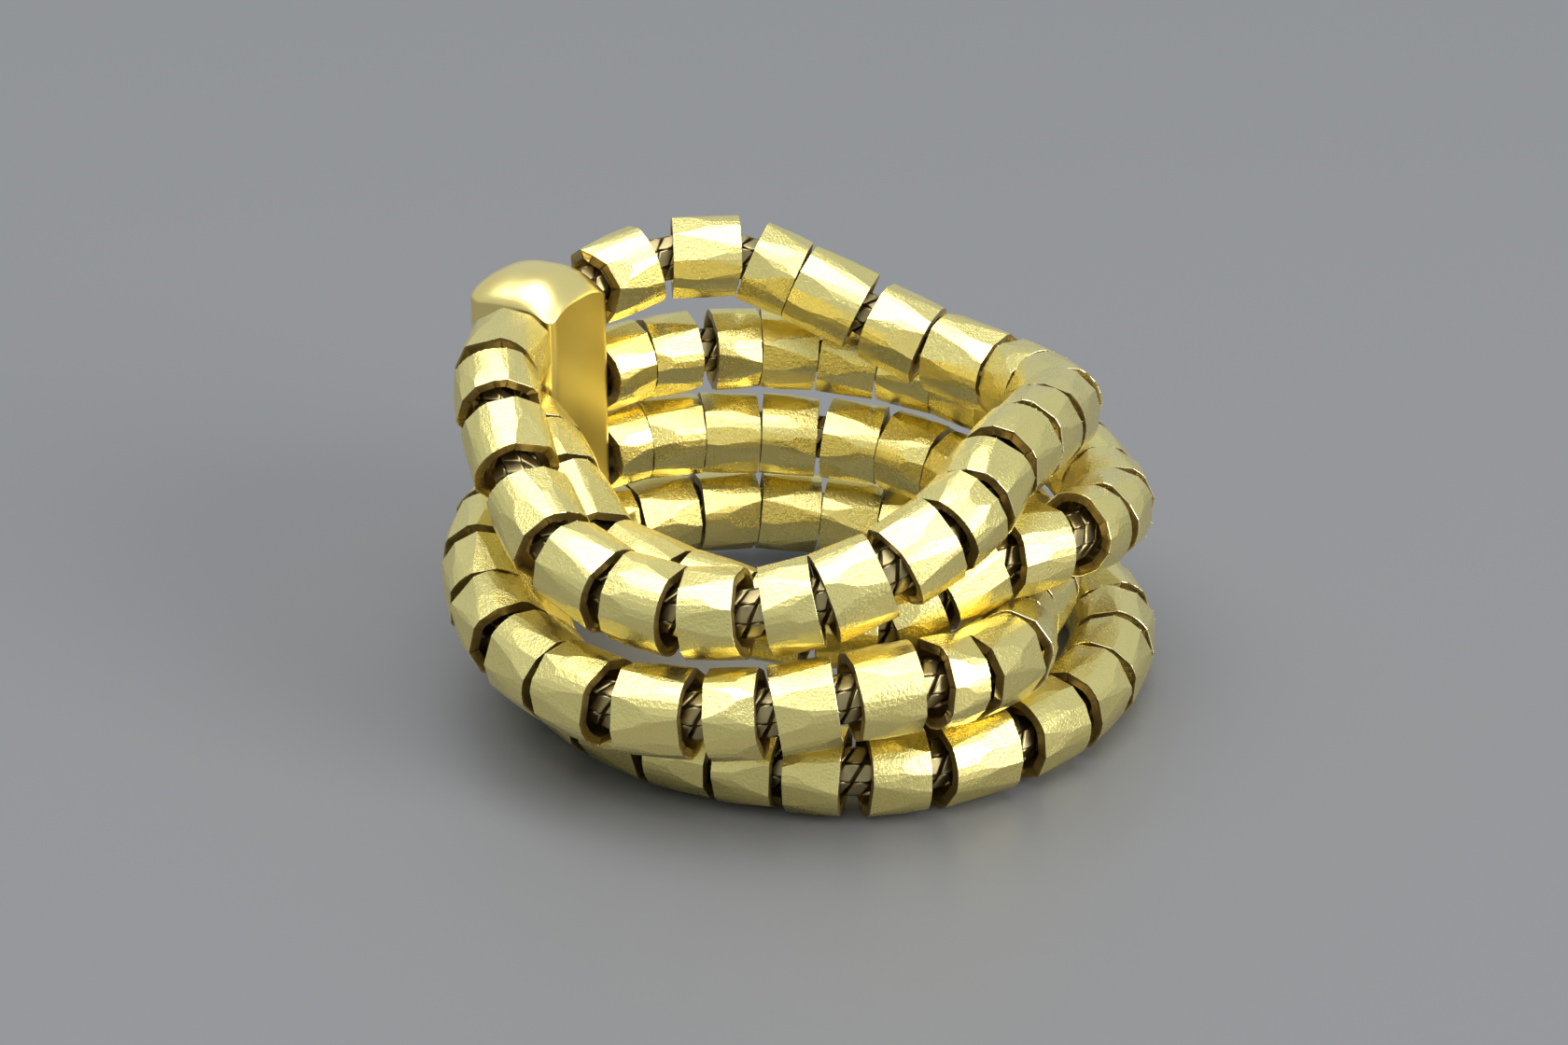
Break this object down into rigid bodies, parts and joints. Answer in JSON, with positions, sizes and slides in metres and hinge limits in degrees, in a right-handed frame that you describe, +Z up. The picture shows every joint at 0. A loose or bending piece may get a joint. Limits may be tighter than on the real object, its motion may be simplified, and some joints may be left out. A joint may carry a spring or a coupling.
{
  "type": "multi-strand bead ring",
  "caption": "Flexible finger ring of hammered tube beads strung on woven chains that end in one upright bar, lying on its side.",
  "frame": {"origin": "middle of the ring's footprint, on the surface it lies on", "axes": "+Z up, along the finger axis; +Y away from the camera; the terminal bar is at the back left"},
  "size_m": [0.025, 0.0252, 0.014],
  "materials": {
    "bar_gold": "satin polished yellow gold",
    "bead_gold": "hammered satin yellow gold"
  },
  "bodies": {
    "root": {"terminal_bar": "bar_gold", "strand_1": "bead_gold", "strand_2": "bead_gold", "strand_3": "bead_gold", "strand_4": "bead_gold"}
  },
  "joints": []
}
